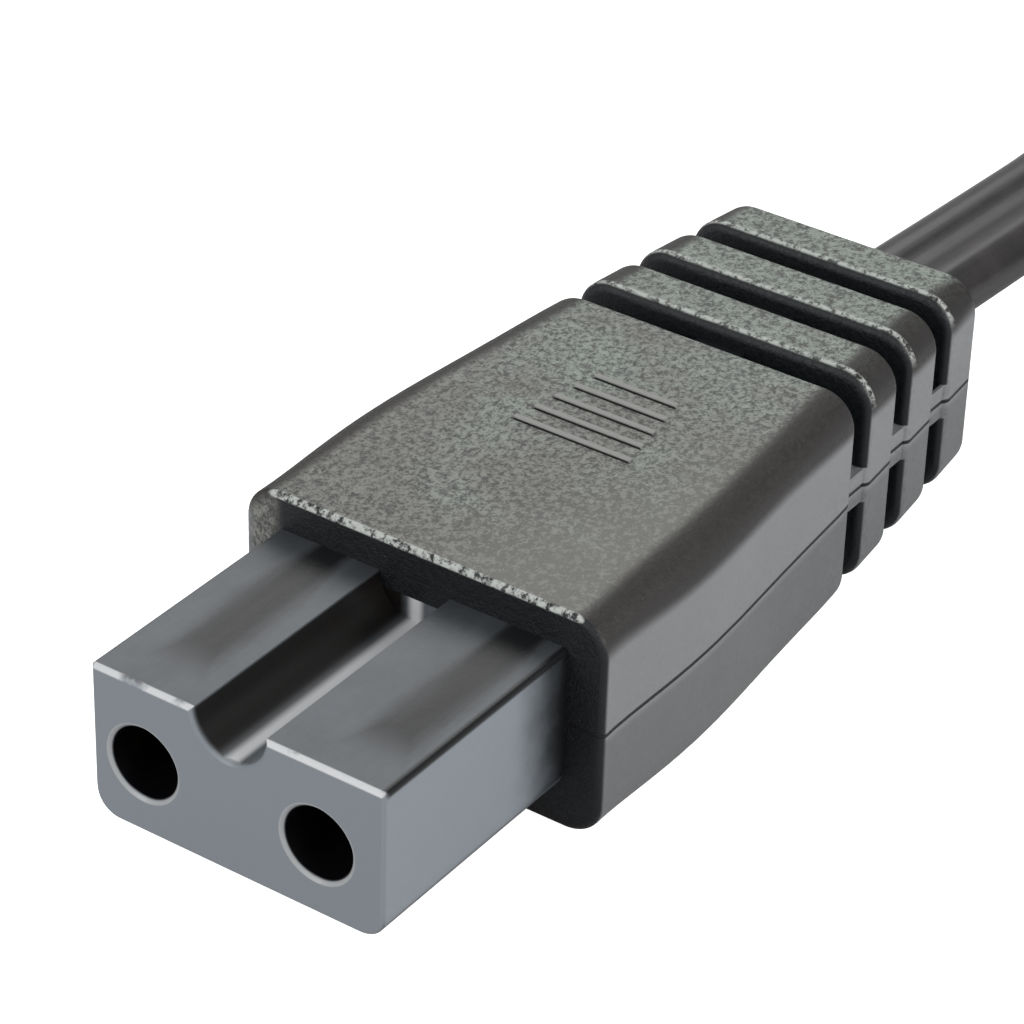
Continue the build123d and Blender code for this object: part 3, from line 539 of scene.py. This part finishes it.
class POWERLEAD_OT_spring(bpy.types.Operator):
    """Winds the spring behind the fuse, with close end turns."""

    bl_idname = "power_lead.spring"
    bl_label = "Spring"

    def execute(self, context):
        front, back, height = 0.25955, 0.25255, 0.0103
        radius, wire, turns = 0.00235, 0.00035, 5
        steps_per_turn, sides, closeness, chart_per_turn = 32, 12, 0.09, 0.003
        centres = []
        for step in range(turns * steps_per_turn + 1):
            share = step / (turns * steps_per_turn)
            angle = 2 * pi * turns * share
            eased = share - closeness * sin(2 * pi * share)
            along = front + (back - front) * eased
            centres.append((angle, Vector((radius * cos(angle), along, height + radius * sin(angle)))))
        round_it = [radians(360 / sides * side) for side in range(sides)]
        rings = []
        for number, (angle, centre) in enumerate(centres):
            before = centres[max(0, number - 1)][1]
            after = centres[min(len(centres) - 1, number + 1)][1]
            outward = Vector((cos(angle), 0, sin(angle)))
            across = (after - before).normalized().cross(outward)
            rings.append([centre + wire * (cos(turn) * outward + sin(turn) * across) for turn in round_it])
        run = [chart_per_turn * number / steps_per_turn for number in range(len(rings))]
        spring = bpy.data.objects.new("fuse_spring", tube("fuse_spring", rings, run))
        context.collection.objects.link(spring)
        spring.data.materials.append(metal("spring_steel", (0.62, 0.62, 0.63), 0.26).material)
        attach(spring, "lead")
        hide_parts("tip_spring")
        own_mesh(spring)
        return {"FINISHED"}


class POWERLEAD_OT_cord(bpy.types.Operator):
    """Makes the cord: from the connector, through its put-away hank, to the plug."""

    bl_idname = "power_lead.cord"
    bl_label = "Cord"

    def execute(self, context):
        sizes = context.scene.lead_sizes
        line = bpy.data.curves.new("cord_line", "CURVE")
        line.dimensions = "3D"
        line.resolution_u = 8
        spline = line.splines.new("NURBS")
        route = cord_route()
        spline.points.add(len(route) - 1)
        for point, place in zip(spline.points, route):
            point.co = (*place, 1)
        spline.order_u = 3
        spline.use_endpoint_u = True
        guide = bpy.data.objects.new("cord_line", line)
        context.collection.objects.link(guide)
        traced = bpy.data.meshes.new_from_object(guide)
        centres = [vertex.co.copy() for vertex in traced.vertices]
        bpy.data.objects.remove(guide)
        bpy.data.meshes.remove(traced)
        cord = bpy.data.objects.new("flat_cord", self.skin(sizes, centres))
        context.collection.objects.link(cord)
        cord.data.materials.append(cord_skin(tuple(context.scene.lead_colours.cord)).material)
        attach(cord, "lead")
        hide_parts("cord_lead", "cord_hank", "cord_tail")
        return {"FINISHED"}

    def skin(self, sizes, centres):
        """The cord's section swept along its line, on edge in the hank and flat at both ends."""
        outline = cord_section(sizes.cord_width, sizes.cord_thickness, sizes.groove_depth)
        run = [0.0]
        for before, after in zip(centres, centres[1:]):
            run.append(run[-1] + (after - before).length)
        rings = []
        for number, centre in enumerate(centres):
            before = centres[max(0, number - 1)]
            after = centres[min(len(centres) - 1, number + 1)]
            along = (after - before).normalized()
            level = along.cross(Vector((0, 0, 1))).normalized()
            upright = level.cross(along).normalized()
            left = run[-1] - run[number]
            turn = pi / 2 * (smooth_share(run[number], *LEAD_TWIST) - 1 + smooth_share(left, *TAIL_TWIST))
            wide = cos(turn) * level + sin(turn) * upright
            thick = wide.cross(along)
            rings.append([centre + x * wide + y * thick for x, y in outline])
        return tube("flat_cord", rings, run)


# ------------------------------------------------------------- CAD finishes


class POWERLEAD_OT_connector(bpy.types.Operator):
    """Gives the connector's block, body and contacts, and the cord's cores and strands, their finishes."""

    bl_idname = "power_lead.connector"
    bl_label = "Connector"

    def execute(self, context):
        colours = context.scene.lead_colours
        dress(block_finish(tuple(colours.block)), "socket_insert")
        dress(body_finish(tuple(colours.body)), "connector_overmould")
        dress(metal("sleeve_brass", (0.78, 0.6, 0.3), 0.3), "contact_sleeve_left", "contact_sleeve_right")
        copper = metal("strand_copper", (0.85, 0.45, 0.3), 0.35)
        dress(copper, "connector_strands_left", "connector_strands_right", "plug_strands")
        red = moulded("core_red", (0.35, 0.03, 0.02), 0.4, 4, 0.006, PLAIN, 0.15)
        dress(red, "connector_core_left", "plug_core_positive")
        black = moulded("core_black", (0.03, 0.03, 0.03), 0.4, 4, 0.006, PLAIN, 0.15)
        dress(black, "connector_core_right", "plug_core_negative")
        return {"FINISHED"}


class POWERLEAD_OT_plug(bpy.types.Operator):
    """Gives the plug's housing, contacts, fuse and indicator, and the hank's ties, their finishes."""

    bl_idname = "power_lead.plug"
    bl_label = "Plug"

    def execute(self, context):
        colours = context.scene.lead_colours
        housing = moulded("plug_housing", tuple(colours.plug), 0.4, 3.6, 0.02, (1.0, 1.02, 1.02), 0.3)
        dress(housing, "plug_shell_upper", "plug_shell_lower", "nose_cap")
        boot = moulded("boot_soft", (0.03, 0.03, 0.031), 0.5, 4.2, 0.01, (1.0, 1.0, 1.02), 0.3)
        dress(boot, "plug_strain_relief")
        nickel = metal("nickel_plate", (0.72, 0.7, 0.66), 0.24)
        dress(nickel, "tip_contact", "fuse_cap_front", "fuse_cap_rear")
        dress(nickel, "side_contact_left", "side_contact_right")
        dress(metal("screw_steel", (0.5, 0.5, 0.52), 0.35), "shell_screws", "fuse_element")
        dress(metal("strap_brass", (0.76, 0.6, 0.32), 0.33), "positive_terminal", "negative_strap")
        glass = Finish("fuse_glass", transmission_weight=1.0, ior=1.5, base_color=(0.9, 0.97, 0.95, 1))
        dress(glass.drive(roughness=glass.noise(0.6) * 0.06 + 0.02), "fuse_glass")
        lens = Finish("red_lens", transmission_weight=0.55, ior=1.49)
        haze = lens.noise(0.9, 3.0)
        look = lens.blend(haze, tuple(colours.lens), scaled(colours.lens, 0.55))
        dress(lens.drive(base_color=look, roughness=haze * 0.12 + 0.06), "indicator_lens", "indicator_led")
        board = moulded("board_green", (0.05, 0.16, 0.07), 0.45, 2.6, 0.01, PLAIN, 0.25)
        dress(board, "indicator_board")
        dress(moulded("resistor_body", (0.55, 0.42, 0.25), 0.4, 3, 0.01, PLAIN, 0.2), "resistor")
        dress(moulded("tie_skin", (0.045, 0.045, 0.048), 0.45, 3.6, 0.01, PLAIN, 0.2), "hank_ties")
        return {"FINISHED"}


# -------------------------------------------------------------------- stage


def camera_place(target, azimuth, elevation, roll, distance):
    """A viewpoint that looks at target, as a matrix."""
    turn, rise = radians(azimuth), radians(elevation)
    back = Vector((sin(turn) * cos(rise), -cos(turn) * cos(rise), sin(rise)))
    right = Vector((cos(turn), sin(turn), 0))
    up = back.cross(right)
    tilt = radians(roll)
    leaning = cos(tilt) * right + sin(tilt) * up
    rising = cos(tilt) * up - sin(tilt) * right
    place = Matrix((leaning, rising, back)).transposed().to_4x4()
    place.translation = target + back * distance
    return place


def soft_box(context, name, place, target, size, power):
    """A square area light that faces target."""
    bpy.ops.object.light_add(type="AREA", location=place)
    lamp = context.object
    lamp.name = name
    lamp.data.shape = "RECTANGLE"
    lamp.data.size = lamp.data.size_y = size
    lamp.data.energy = power
    lamp.rotation_euler = (Vector(place) - Vector(target)).to_track_quat("Z", "Y").to_euler()


class POWERLEAD_OT_stage(bpy.types.Operator):
    """Sets up the camera, the white floor and surround and the soft light."""

    bl_idname = "power_lead.stage"
    bl_label = "Stage"

    def execute(self, context):
        levels = context.scene.stage_settings
        bpy.ops.object.camera_add()
        camera = context.object
        camera.name = "photo_camera"
        camera.data.sensor_width = SENSOR_WIDTH
        camera.data.lens = FOCAL_PIXELS / PHOTO_PIXELS * SENSOR_WIDTH
        camera.data.clip_start = 0.01
        camera.matrix_world = camera_place(PHOTO_TARGET, AZIMUTH, ELEVATION, ROLL, DISTANCE)
        context.scene.camera = camera
        context.scene.view_settings.view_transform = "Standard"
        self.floor(context)
        self.surround(context, levels)
        soft_box(context, "key_box", (-0.28, 0.42, 0.40), (0, 0, 0), 0.4, levels.key_power)
        soft_box(context, "front_box", (-0.2, -0.55, 0.3), (0, 0, 0.01), 0.4, levels.front_power)
        soft_box(context, "side_box", (0.6, -0.05, 0.3), (0, 0, 0.01), 0.4, levels.side_power)
        soft_box(context, "edge_box", (-0.28, -0.31, 0.4), (0, 0, 0.01), 0.1, levels.edge_power)
        return {"FINISHED"}

    def floor(self, context):
        """A plane that the camera sees as white, and that lights the object as pale grey."""
        bpy.ops.mesh.primitive_plane_add(size=6.0, location=(0, 0, 0))
        floor = context.object
        floor.name = "floor"
        made = Finish("white_floor", roughness=0.7)
        speckle = made.noise(0.04)
        made.drive(base_color=made.blend(speckle, (0.6, 0.6, 0.6), (0.64, 0.64, 0.64)))
        path = made.tree.nodes.new("ShaderNodeLightPath")
        seen = Value(made, path.outputs["Is Camera Ray"]) | Value(made, path.outputs["Is Transmission Ray"])
        made.tree.links.new(seen.socket, made.shader.inputs["Emission Strength"])
        made.shader.inputs["Emission Color"].default_value = (1, 1, 1, 1)
        floor.data.materials.append(made.material)

    def surround(self, context, levels):
        """White for the camera, darker where it lights or is mirrored."""
        world = bpy.data.worlds.new("white_surround")
        context.scene.world = world
        world.use_nodes = True
        nodes, links = world.node_tree.nodes, world.node_tree.links
        sky = nodes["Background"]
        path = nodes.new("ShaderNodeLightPath")
        mirrored = nodes.new("ShaderNodeMapRange")
        links.new(path.outputs["Is Glossy Ray"], mirrored.inputs["Value"])
        mirrored.inputs["To Min"].default_value = levels.world_level
        mirrored.inputs["To Max"].default_value = levels.mirrored_level
        seen = nodes.new("ShaderNodeMapRange")
        links.new(path.outputs["Is Camera Ray"], seen.inputs["Value"])
        links.new(mirrored.outputs[0], seen.inputs["To Min"])
        seen.inputs["To Max"].default_value = 1.0
        links.new(seen.outputs[0], sky.inputs["Strength"])
        sky.inputs["Color"].default_value = (1, 1, 1, 1)


class POWERLEAD_PT_panel(bpy.types.Panel):
    """Lists the steps that dress the lead."""

    bl_idname = "POWERLEAD_PT_panel"
    bl_label = "Power lead"
    bl_space_type = "VIEW_3D"
    bl_region_type = "UI"
    bl_category = "Power lead"

    def draw(self, context):
        for step in STEPS:
            self.layout.operator(step.bl_idname)
        for group in (context.scene.lead_sizes, context.scene.lead_colours, context.scene.stage_settings):
            for name in group.__annotations__:
                self.layout.prop(group, name)


# In the order in which they run
STEPS = (
    POWERLEAD_OT_stage, POWERLEAD_OT_spring, POWERLEAD_OT_cord, POWERLEAD_OT_connector, POWERLEAD_OT_plug,
)
GROUPS = {"lead_sizes": LeadSizes, "lead_colours": LeadColours, "stage_settings": StageSettings}


def register():
    for made in (*GROUPS.values(), *STEPS, POWERLEAD_PT_panel):
        bpy.utils.register_class(made)
    for name, group in GROUPS.items():
        setattr(bpy.types.Scene, name, bpy.props.PointerProperty(type=group))


def unregister():
    for name in GROUPS:
        delattr(bpy.types.Scene, name)
    for made in reversed((*GROUPS.values(), *STEPS, POWERLEAD_PT_panel)):
        bpy.utils.unregister_class(made)


def main():
    register()
    for area, name in (step.bl_idname.split(".") for step in STEPS):
        getattr(getattr(bpy.ops, area), name)()


if __name__ == "__main__":
    main()
